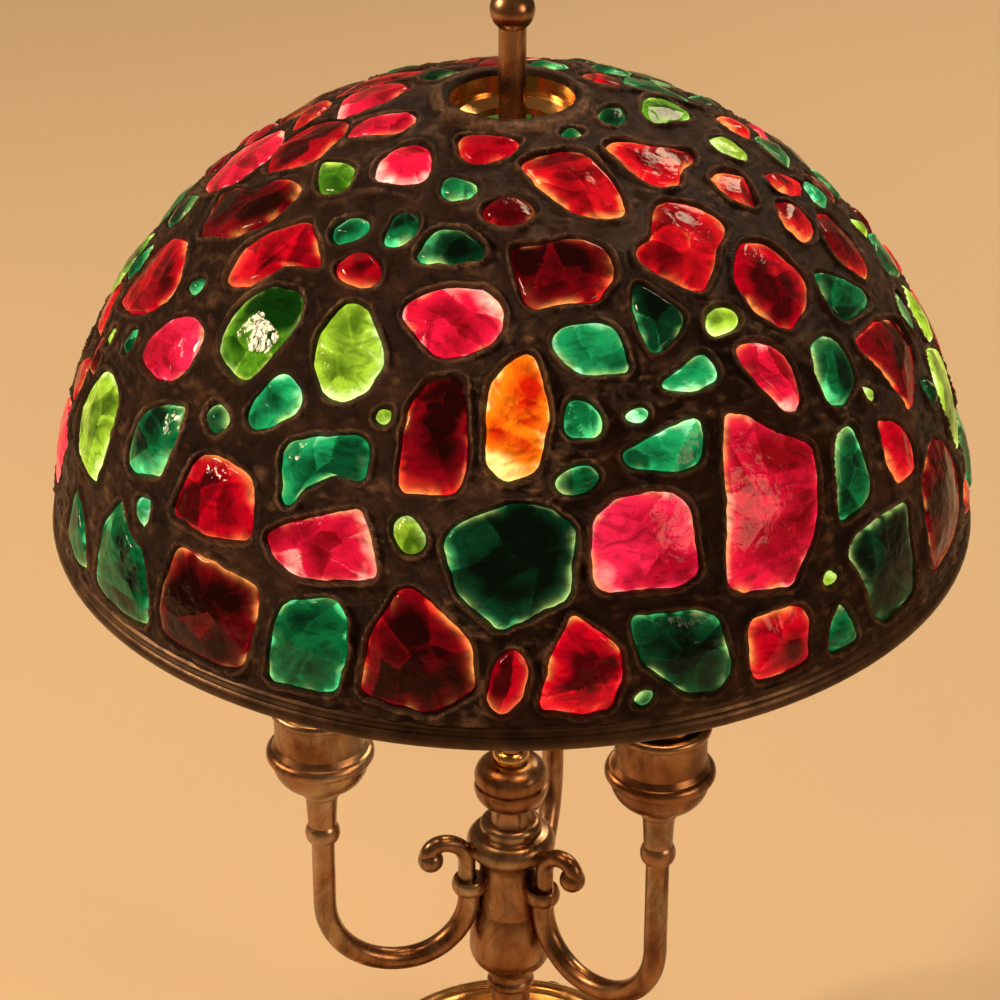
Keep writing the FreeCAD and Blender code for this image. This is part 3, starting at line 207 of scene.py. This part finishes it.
def evened(ring):
    """The ring with points at even steps, turning anticlockwise."""
    closed = np.vstack((ring, ring[:1]))
    run = np.concatenate(([0], np.cumsum(np.linalg.norm(np.diff(closed, axis=0), axis=1))))
    count = max(24, int(run[-1] / EDGE_STEP))
    places = np.linspace(0, run[-1], count, endpoint=False)
    even = np.stack([np.interp(places, run, closed[:, k]) for k in range(2)], axis=1)
    after = np.roll(even, -1, axis=0)
    area = np.sum(even[:, 0] * after[:, 1] - after[:, 0] * even[:, 1])
    return even if area > 0 else even[::-1]


def islands(bm):
    """Groups of joined vertices."""
    left = set(bm.verts)
    while left:
        group = []
        waiting = [left.pop()]
        while waiting:
            vertex = waiting.pop()
            group.append(vertex)
            for edge in vertex.link_edges:
                other = edge.other_vert(vertex)
                if other in left:
                    left.remove(other)
                    waiting.append(other)
        yield group


def chunk_of(group):
    """The chunk that a group of joined vertices outlines, at its full-size level under the bevelled top."""
    faces = {face for vertex in group for face in vertex.link_faces}
    top = max(faces, key=lambda f: min((np.array(v.co) - DOME_CENTRE) @ np.array(f.normal) for v in f.verts))
    middle = np.array(top.normal)
    depth = {v: (np.array(v.co) - DOME_CENTRE) @ middle for v in group}
    level = max(depth.values()) - SHOULDER_DROP
    ring = {v for v in group if abs(depth[v] - level) < LEVEL_SLACK}
    walk = [min(ring, key=lambda v: tuple(v.co))]
    while True:
        beside = [e.other_vert(walk[-1]) for e in walk[-1].link_edges]
        onward = [v for v in beside if v in ring and v not in walk]
        if not onward:
            break
        walk.append(min(onward, key=lambda v: tuple(v.co)) if len(walk) == 1 else onward[0])
    corners = np.array([tuple(v.co) for v in walk]) - DOME_CENTRE
    return Chunk(corners, middle)


def chunks_in(node):
    bm = bmesh.new()
    bm.from_mesh(frame["nodes"][node].data)
    bmesh.ops.remove_doubles(bm, verts=bm.verts, dist=WELD)
    bm.normal_update()
    found = [chunk_of(group) for group in islands(bm)]
    bm.free()
    return found


# ---- Glass ----

def facets_at(places, chunk, rng, rise):
    """Height of a top broken into flat facets at places on the flat, each facet's tone, and a glow on its ridges."""
    count = int(np.clip((chunk.reach / (5.5 * MM)) ** 1.5, 3, 13))
    seeds = chunk.outline[rng.integers(0, len(chunk.outline), count)] * rng.uniform(0.05, 0.95, (count, 1))
    drop = FACET_FALL / chunk.reach ** 2
    bent = places + 0.9 * MM * np.stack([noise(chunk.solid(places, np.full(len(places), lift)), 6 * MM)
                                         for lift in (0.0, 40 * MM)], axis=1)
    gaps = ((bent[:, None] - seeds[None]) ** 2).sum(2)
    nearest = gaps.argmin(1)
    two = np.sort(gaps, axis=1)[:, :2]
    tones = rng.uniform(0.0, 1.0, count)
    ridge = np.exp(-(np.sqrt(two[:, 1]) - np.sqrt(two[:, 0])) / (0.8 * MM)) * rng.uniform(0, 1, count)[nearest]
    height = rise + drop * (two[:, 0] - (bent ** 2).sum(1))
    return height, tones[nearest], ridge


def glow_at(places):
    """How much painted light brightens, or painted shade darkens, the glass at places beyond its own pattern."""
    total = np.zeros(len(places))
    for around, up, size, change in GLOWS:
        azimuth = math.radians(SHADE_FRONT + around)
        height = DOME_RISE * math.sin(math.radians(up)) + DOME_DROP
        out = math.sqrt(DOME_R ** 2 - height ** 2)
        middle = DOME_CENTRE + np.array((out * math.sin(azimuth), -out * math.cos(azimuth), height))
        total += change * np.exp(-((places - middle) ** 2).sum(1) / size ** 2)
    return total


def chunk_mesh(chunk, rng):
    """Points, faces, and a brightness and an edge light for each point, of one lump of broken glass."""
    ring = chunk.outline
    count = len(ring)
    layers = int(np.clip(chunk.reach / (1.15 * MM), 7, 22))
    shares = 1 - (np.arange(layers) / layers) ** 1.15
    inward = np.linalg.norm(ring, axis=1).mean()
    front = np.vstack([ring * share for share in shares])
    depth_in = np.repeat((1 - shares) * inward, count)
    rise = rng.uniform(1.5, 2.6) * MM
    top, tone, ridge = facets_at(front, chunk, rng, rise)
    shoulder = -0.9 * MM + 3.6 * MM * (1 - np.exp(-depth_in / (1.5 * MM)))
    ground = chunk.solid(front, np.zeros(len(front)))
    ripple = 0.22 * MM * noise(ground, 5.5 * MM) + 0.10 * MM * noise(ground, 2.0 * MM)
    height = np.minimum(top, shoulder) + ripple * smooth_step(0, 2 * MM, depth_in)
    chipped = front * (1 - 0.012 * (1 + noise(ground, 2.5 * MM))[:, None])
    points = [chunk.solid(chipped, height)]

    thin = np.exp(-depth_in / (1.3 * MM))
    thick = smooth_step(1.5 * MM, 11 * MM, depth_in)
    streak = noise(ground, 7 * MM)
    gleam_side = rng.uniform(0, 2 * math.pi)
    side = (front[:, 0] * math.cos(gleam_side) + front[:, 1] * math.sin(gleam_side)) / chunk.reach
    chips = smooth_step(0.1, 0.7, noise(ground, 4 * MM)) * np.exp(-depth_in / (3.0 * MM))
    cloud = noise(ground, 9 * MM)
    # Painted light standing in for the bulbs' light through the glass: brighter at thin edges, chips, ridges and one
    # side of each chunk, darker where thick
    bright = (0.08 + 0.62 * tone + 0.40 * thin + 0.55 * chips + 0.34 * ridge - 0.28 * thick
              + 0.28 * side + 0.18 * streak + 0.26 * cloud + glow_at(ground))
    rim_light = np.exp(-depth_in / (0.9 * MM)) * smooth_step(-0.15, 0.55, noise(ground, 7 * MM) + 0.3 * side)

    back_shares = np.array((1.0, 0.86, 0.5, 0.2))
    back_heights = np.array((-0.68, -1.0, -1.04, -1.06)) * GLASS_DEPTH
    for share, level in zip(back_shares, back_heights):
        place = ring * share
        points.append(chunk.solid(place, np.full(count, level) + 0.5 * MM * noise(ground[:count] * share, 8 * MM)))
    bright = np.concatenate((bright, np.full(count * 4, BACK_BRIGHT)))
    rim_light = np.concatenate((rim_light, np.zeros(count * 4)))
    points = np.vstack(points)

    rows = layers
    faces = strips(0, rows, count, False)
    faces.append([(rows - 1) * count + k for k in range(count)])
    base = rows * count
    faces += strips(base, 4, count, True)
    faces.append([base + 3 * count + k for k in reversed(range(count))])
    faces += [[k, base + k, base + (k + 1) % count, (k + 1) % count] for k in range(count)]
    return points, faces, bright, rim_light


def strips(first, rows, count, flipped):
    """Quads between neighbouring rings of a ringed surface."""
    quads = []
    for row in range(rows - 1):
        low = first + row * count
        for k in range(count):
            quad = [low + k, low + (k + 1) % count, low + count + (k + 1) % count, low + count + k]
            quads.append(quad[::-1] if flipped else quad)
    return quads


def glass_piece(colour, chunks):
    """All the chunks of one glass as one piece, with the light that each point gives."""
    rng = np.random.default_rng(sum(map(ord, colour)))
    deep, main, hot = (np.array(value) for value in GLASS_LIGHT[colour])
    edge = np.array(EDGE_LIGHT[bool(main[0] > main[1])])
    points, faces, lights = [], [], []
    start = 0
    for chunk in chunks:
        lump, lump_faces, bright, rim_light = chunk_mesh(chunk, rng)
        level = rng.uniform(0.8, 1.2)
        low = np.clip(bright / 0.6, 0, 1)[:, None]
        high = np.clip((bright - 0.75) / 0.6, 0, 1)[:, None]
        light = deep + (main - deep) * low
        light = light + (hot - light) * high
        light = light + (edge - light) * EDGE_SHARE * rim_light[:, None]
        points.append(lump)
        faces += [[start + k for k in face] for face in lump_faces]
        lights.append(light * level)
        start += len(lump)
    node = colour + "_glass"
    piece = make_mesh("chunks_" + colour, np.vstack(points).tolist(), faces, "shade", [node])
    put_colours(piece, "light", np.vstack(lights))
    return piece


# ---- Lead ----

def distance_to(outline, places):
    """Distance from places to a closed outline, negative inside it."""
    after = np.roll(outline, -1, axis=0)
    edge = after - outline
    gap = places[:, None] - outline[None]
    share = np.clip((gap * edge).sum(2) / (edge ** 2).sum(1), 0, 1)
    nearest = gap - share[:, :, None] * edge[None]
    distance = np.sqrt((nearest ** 2).sum(2).min(1))
    above = (outline[None, :, 1] > places[:, 1:]) != (after[None, :, 1] > places[:, 1:])
    drop = np.where(edge[:, 1] == 0, 1e-12, edge[:, 1])
    crossing = outline[:, 0] + (places[:, 1:] - outline[:, 1]) * edge[:, 0] / drop
    inside = (above & (places[:, :1] < crossing)).sum(1) % 2 == 1
    return np.where(inside, -distance, distance)


def window_distance(directions, chunks):
    """Distance from each direction to the nearest window's edge, negative in a window and never more than the farthest that matters."""
    far = 9 * MM
    result = np.full(len(directions), far)
    for chunk in chunks:
        limit = math.cos(math.atan((chunk.reach + far) / DOME_R))
        near = np.nonzero(directions @ chunk.middle > limit)[0]
        for part in np.array_split(near, max(1, len(near) // 4000)):
            result[part] = np.minimum(result[part], distance_to(chunk.outline, chunk.flat(directions[part])))
    return result


def dome_grid(step):
    """Directions over the dome from its top opening down to its rim, and the grid's size."""
    top = math.asin(OPENING_R / DOME_R)
    bottom = math.acos((lead_low.z - DOME_CENTRE[2]) / DOME_R)
    rows = int((bottom - top) * DOME_R / step) + 1
    columns = int(2 * math.pi * DOME_R / step)
    down = np.repeat(np.linspace(top, bottom, rows), columns)
    around = np.tile(np.arange(columns) * (2 * math.pi / columns), rows)
    directions = np.stack((np.sin(down) * np.cos(around), np.sin(down) * np.sin(around), np.cos(down)), axis=1)
    return directions, rows, columns


def lead_relief(directions, distance):
    """Height of the worked lead above the dome, and how far each place is worn bright and given a painted highlight,
    more where it stands higher.
    """
    ground = directions * DOME_R
    wander = noise(ground, 14 * MM)
    bead_at = BEAD_OUT * (1 + 0.25 * wander)
    bead = np.exp(-((distance - bead_at) / BEAD_WIDE) ** 2)
    bead_height = BEAD_HIGH * (0.75 + 0.55 * noise(ground, 17 * MM))
    drawn = ground * np.array((1.0, 1.0, 3.2))
    wrinkle = np.abs(noise(drawn, 9 * MM)) * 1.3 * MM * smooth_step(2.0 * MM, 5 * MM, distance)
    grain = 0.42 * MM * noise(ground, 3.1 * MM) + 0.24 * MM * noise(ground, 2.2 * MM)
    lumps = 0.8 * MM * noise(ground, 7 * MM)
    fall = np.where(distance < 0.4 * MM, (distance - 0.4 * MM) * 1.5, 0)
    beside_opening = np.arccos(np.clip(directions[:, 2], -1, 1)) * DOME_R - OPENING_R
    lip = LIP_HIGH * (0.85 + 0.3 * noise(ground, 9 * MM)) * (1 - smooth_step(0.35 * LIP_WIDE, LIP_WIDE, beside_opening))
    height = bead * bead_height + wrinkle + grain + lumps * smooth_step(0, 4 * MM, distance) + fall + lip
    # Raised lead is worn bright and also given a painted highlight
    return height, np.clip(height / (1.6 * MM), 0, 1)


def grid_faces(first, rows, columns, keep, flipped):
    """Quads of a grid that closes round on itself, without those whose corners all lie under glass."""
    row, column = np.meshgrid(np.arange(rows - 1), np.arange(columns), indexing="ij")
    after = (column + 1) % columns
    corners = np.stack((row * columns + column, (row + 1) * columns + column,
                        (row + 1) * columns + after, row * columns + after), axis=-1).reshape(-1, 4)
    corners = corners[keep[corners].any(axis=1)]
    if flipped:
        corners = corners[:, ::-1]
    return (corners + first).tolist()


def lead_piece(chunks):
    """The lead: a worked outer skin, a plainer inner one, and a lip that rolls into the top opening."""
    directions, rows, columns = dome_grid(LEAD_STEP)
    distance = window_distance(directions, chunks)
    height, wear_and_highlight = lead_relief(directions, distance)
    outer = DOME_CENTRE + directions * (DOME_R + height)[:, None]
    faces = grid_faces(0, rows, columns, distance > -WINDOW_LAP, False)

    inner_directions, inner_rows, inner_columns = dome_grid(INNER_STEP)
    inner_distance = window_distance(inner_directions, chunks)
    inner_bump = 0.5 * MM * noise(inner_directions * DOME_R, 12 * MM)
    inner = DOME_CENTRE + inner_directions * (DOME_R - LEAD_THICK - 0.2 * MM + inner_bump)[:, None]
    faces += grid_faces(len(outer), inner_rows, inner_columns, inner_distance > -WINDOW_LAP, True)

    around = np.arange(columns) * (2 * math.pi / columns)
    wall = [np.stack((radius * np.cos(around), radius * np.sin(around), np.full(columns, collar_high.z + rise)), axis=1)
            for radius, rise in LIP_ROLL]
    base = len(outer) + len(inner)
    loops = [0] + [base + k * columns for k in range(3)]
    for above, below in zip(loops, loops[1:]):
        faces += [[above + (k + 1) % columns, below + (k + 1) % columns, below + k, above + k]
                  for k in range(columns)]
    points = np.vstack((outer, inner, *wall))
    wear_and_highlight = np.concatenate((wear_and_highlight, np.zeros(len(points) - len(outer))))
    used, faces = np.unique(np.array(faces), return_inverse=True)
    piece = make_mesh("worked_lead", points[used].tolist(), faces.reshape(-1, 4).tolist(), "shade",
                      ["lead_matrix"])
    put_values(piece, "wear_and_highlight", wear_and_highlight[used])
    return piece


# ---- Materials ----

class Recipe:
    """A node material with its Principled shader, built by short calls."""

    def __init__(self, name):
        self.material = bpy.data.materials.new(name)
        self.material.use_nodes = True
        self.tree = self.material.node_tree
        self.shader = self.tree.nodes["Principled BSDF"]
        self.place = self.tree.nodes.new("ShaderNodeTexCoord").outputs["Object"]

    def add(self, kind, inputs=None, **settings):
        node = self.tree.nodes.new("ShaderNode" + kind)
        for key, value in settings.items():
            setattr(node, key, value)
        for key, value in (inputs or {}).items():
            if hasattr(value, "is_linked"):
                self.tree.links.new(value, node.inputs[key])
            else:
                node.inputs[key].default_value = value
        return node

    def pattern(self, scale, detail=4.0, rough=0.55, stretch=None, twist=0.0):
        vector = self.place
        if stretch:
            vector = self.add("Mapping", {"Vector": vector, "Scale": stretch}).outputs[0]
        node = self.add("TexNoise", {"Vector": vector, "Scale": scale, "Detail": detail, "Roughness": rough,
                                     "Distortion": twist})
        return node.outputs["Fac"]

    def ramp(self, value, *stops):
        node = self.add("ValToRGB", {"Fac": value})
        elements = node.color_ramp.elements
        while len(elements) < len(stops):
            elements.new(0.5)
        for element, (place, colour) in zip(elements, stops):
            element.position = place
            element.color = (*colour, 1.0) if isinstance(colour, tuple) else (colour, colour, colour, 1.0)
        return node.outputs["Color"]

    def blend(self, share, first, second, mode="MIX"):
        node = self.add("Mix", {0: share}, data_type="RGBA", blend_type=mode)
        for socket, value in ((node.inputs[6], first), (node.inputs[7], second)):
            if hasattr(value, "is_linked"):
                self.tree.links.new(value, socket)
            else:
                socket.default_value = (*value, 1.0)
        return node.outputs[2]

    def attribute(self, name):
        return self.add("Attribute", attribute_name=name)

    def bump(self, value, strength, distance):
        node = self.add("Bump", {"Height": value, "Strength": strength, "Distance": distance})
        self.set(Normal=node.outputs[0])

    def set(self, **inputs):
        for key, value in inputs.items():
            socket = self.shader.inputs[key.replace("_", " ")]
            if hasattr(value, "is_linked"):
                self.tree.links.new(value, socket)
            else:
                socket.default_value = value
        return self


def glass_material(colour):
    """Broken glass with painted back light: it glows by the light stored on it, with flaws, under a wet-looking skin.
    """
    recipe = Recipe(colour + "_glass")
    light = recipe.attribute("light").outputs["Color"]
    flaws = recipe.ramp(recipe.pattern(330, 3, 0.6, twist=1.0), (0.30, 0.60), (0.5, 0.95), (0.70, 1.0))
    veins = recipe.ramp(recipe.pattern(70, 3, 0.5, stretch=(1, 1, 2.0), twist=2.2),
                        (0.32, 0.30), (0.52, 0.9), (0.68, 1.0))
    glowing = recipe.blend(0.6, recipe.blend(0.75, light, veins, "MULTIPLY"), flaws, "MULTIPLY")
    body = recipe.blend(0.12, (0.0, 0.0, 0.0), light)
    recipe.set(Base_Color=body, Roughness=0.05, Emission_Color=glowing, Emission_Strength=1.45, IOR=1.45)
    recipe.set(Specular_IOR_Level=0.22)
    recipe.bump(recipe.pattern(240, 3, 0.5, twist=1.6), 0.3, 0.0006)
    recipe.material.cycles.emission_sampling = "NONE"
    return recipe.material


def lead_material():
    """Rough brown patina, darker in the hollows, and on the beads worn to dull metal and brightened by a painted
    highlight.
    """
    recipe = Recipe("lead")
    wear_and_highlight = recipe.attribute("wear_and_highlight").outputs["Fac"]
    patina = recipe.ramp(recipe.pattern(60, 8, 0.7), (0.34, (0.012, 0.004, 0.003)), (0.55, (0.045, 0.018, 0.010)),
                         (0.72, (0.120, 0.050, 0.026)))
    # Worn metal colour, also used as a painted highlight on the raised lead
    worn = recipe.ramp(recipe.pattern(260, 7, 0.75), (0.40, (0.060, 0.028, 0.016)), (0.66, (0.30, 0.16, 0.09)))
    share = recipe.ramp(wear_and_highlight, (0.40, 0.0), (1.0, 0.95))
    recipe.set(Base_Color=recipe.blend(share, patina, worn), Metallic=0.6, Specular_IOR_Level=0.4)
    recipe.set(Roughness=recipe.ramp(recipe.pattern(160, 4), (0.3, 0.26), (0.7, 0.50)))
    recipe.bump(recipe.pattern(420, 8, 0.8), 1.0, 0.0016)
    return recipe.material


def plated_material():
    """Silver plate worn through to brass and copper, with dark tarnish in streaks and spots."""
    recipe = Recipe("silvered_brass")
    broad = recipe.pattern(20, 7, 0.6, stretch=(1, 1, 0.6), twist=1.4)
    metal = recipe.ramp(broad, (0.36, (0.20, 0.085, 0.038)), (0.47, (0.33, 0.16, 0.075)),
                        (0.57, (0.40, 0.26, 0.16)), (0.70, (0.52, 0.42, 0.31)))
    tarnish = recipe.ramp(recipe.pattern(55, 7, 0.66, stretch=(1, 1, 0.5), twist=1.0), (0.38, 0.30), (0.54, 1.0))
    recipe.set(Base_Color=recipe.blend(0.7, metal, tarnish, "MULTIPLY"), Metallic=1.0)
    recipe.set(Roughness=recipe.ramp(recipe.pattern(60, 5), (0.3, 0.20), (0.7, 0.42)))
    recipe.bump(recipe.pattern(260, 6, 0.7), 0.14, 0.0005)
    return recipe.material


def brass_material():
    """Polished golden brass with light handling marks."""
    recipe = Recipe("golden_brass")
    tone = recipe.ramp(recipe.pattern(40, 6, 0.6), (0.3, (0.42, 0.20, 0.07)), (0.55, (0.68, 0.40, 0.15)),
                       (0.8, (0.80, 0.54, 0.26)))
    recipe.set(Base_Color=tone, Metallic=1.0, Roughness=recipe.ramp(recipe.pattern(120, 5), (0.3, 0.14), (0.7, 0.34)))
    recipe.bump(recipe.pattern(300, 5, 0.6), 0.12, 0.0004)
    return recipe.material


def plain_material(name, dark, light, scale, roughness, metallic=0.0):
    """A quiet finish that still varies over its surface."""
    recipe = Recipe(name)
    recipe.set(Base_Color=recipe.ramp(recipe.pattern(scale, 6), (0.3, dark), (0.7, light)), Metallic=metallic)
    recipe.set(Roughness=recipe.ramp(recipe.pattern(scale * 1.7, 4), (0.3, roughness - 0.08), (0.7, roughness + 0.08)))
    recipe.bump(recipe.pattern(scale * 4, 5), 0.25, 0.0005)
    return recipe.material


def bulb_material():
    """A lit frosted envelope whose warm glow varies a little at random over it."""
    recipe = Recipe("bulb_glass")
    warm = recipe.ramp(recipe.pattern(60, 2), (0.3, (1.0, 0.60, 0.26)), (0.7, (1.0, 0.68, 0.34)))
    recipe.set(Base_Color=(0.9, 0.8, 0.65, 1.0), Roughness=0.25, Emission_Color=warm, Emission_Strength=9.0)
    return recipe.material


def paint(materials):
    """Every CAD node takes the finish of its material slot."""
    for part in frame["record"]["subparts"]:
        node = frame["nodes"][part["node"]]
        node.data.materials.clear()
        node.data.materials.append(materials[part["material_slot"]])


# ---- Studio ----

def floor():
    mesh = bpy.data.meshes.new("studio_floor")
    far = 9.0
    mesh.from_pydata([(-far, -far, 0), (far, -far, 0), (far, far, 0), (-far, far, 0)], [], [(0, 1, 2, 3)])
    ground = bpy.data.objects.new("studio_floor", mesh)
    bpy.context.scene.collection.objects.link(ground)
    recipe = Recipe("studio_floor")
    tone = recipe.ramp(recipe.pattern(1.2, 2), (0.3, (0.80, 0.62, 0.43)), (0.7, (0.84, 0.66, 0.46)))
    recipe.set(Base_Color=tone, Roughness=0.55)
    mesh.materials.append(recipe.material)


def area_light(name, place, size, power, colour):
    data = bpy.data.lights.new(name, "AREA")
    data.shape = "DISK"
    data.size = size
    data.energy = power
    data.color = colour
    light = bpy.data.objects.new(name, data)
    bpy.context.scene.collection.objects.link(light)
    light.location = place
    aim = Vector((0, 0, rim_low.z)) - light.location
    light.rotation_euler = aim.to_track_quat("-Z", "Y").to_euler()
    return light


def studio():
    world = bpy.data.worlds.new("studio")
    bpy.context.scene.world = world
    world.use_nodes = True
    sky = world.node_tree.nodes["Background"]
    sky.inputs["Color"].default_value = (1.0, 0.66, 0.38, 1.0)
    sky.inputs["Strength"].default_value = 0.18
    area_light("key", (-1.8, -0.5, 1.6), 0.4, 44, (1.0, 0.74, 0.46))
    area_light("fill", (1.9, -0.7, 1.1), 0.9, 12, (1.0, 0.72, 0.45))
    area_light("back", (0.6, 1.9, 1.8), 0.9, 22, (1.0, 0.78, 0.52))


def camera():
    """The photograph's viewpoint: in front, a little to the lamp's right, looking down on the shade."""
    turn = math.radians(13.4)
    away = 1301.15 * MM
    aside = 5.1 * MM
    height = rim_low.z + 734.7 * MM
    data = bpy.data.cameras.new("camera")
    data.sensor_width = 36.0
    data.lens = 121.9
    data.clip_start = 0.05
    data.clip_end = 40.0
    eye = bpy.data.objects.new("camera", data)
    bpy.context.scene.collection.objects.link(eye)
    eye.location = (away * math.sin(turn) - aside * math.cos(turn), -away * math.cos(turn) - aside * math.sin(turn),
                    height)
    eye.rotation_euler = (math.radians(90 - 29.45), 0, turn)
    bpy.context.scene.camera = eye


def main():
    materials = {
        "silvered_brass": plated_material(),
        "golden_brass": brass_material(),
        "dark_bronze": plain_material("dark_bronze", (0.03, 0.015, 0.008), (0.11, 0.058, 0.03), 90, 0.42, 0.8),
        "lead": lead_material(),
        "steel": plain_material("steel", (0.35, 0.35, 0.36), (0.5, 0.5, 0.5), 120, 0.35, 1.0),
        "iron": plain_material("iron", (0.05, 0.05, 0.055), (0.10, 0.10, 0.11), 120, 0.6, 0.8),
        "felt": plain_material("felt", (0.02, 0.06, 0.035), (0.05, 0.11, 0.065), 700, 0.88),
        "black_plastic": plain_material("black_plastic", (0.012, 0.012, 0.012), (0.03, 0.028, 0.026), 200, 0.4),
        "cap_metal": plain_material("cap_metal", (0.5, 0.48, 0.45), (0.66, 0.62, 0.58), 150, 0.3, 1.0),
        "bulb_glass": bulb_material(),
    }
    for colour in GLASS_LIGHT:
        materials[colour + "_glass"] = glass_material(colour)
    paint(materials)

    chunks = {colour: chunks_in(colour + "_glass") for colour in GLASS_LIGHT}
    for colour, found in chunks.items():
        glass_piece(colour, found).data.materials.append(materials[colour + "_glass"])
    lead_piece([chunk for found in chunks.values() for chunk in found]).data.materials.append(materials["lead"])

    floor()
    studio()
    camera()
    bpy.context.scene.view_settings.view_transform = "Standard"
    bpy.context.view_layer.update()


main()
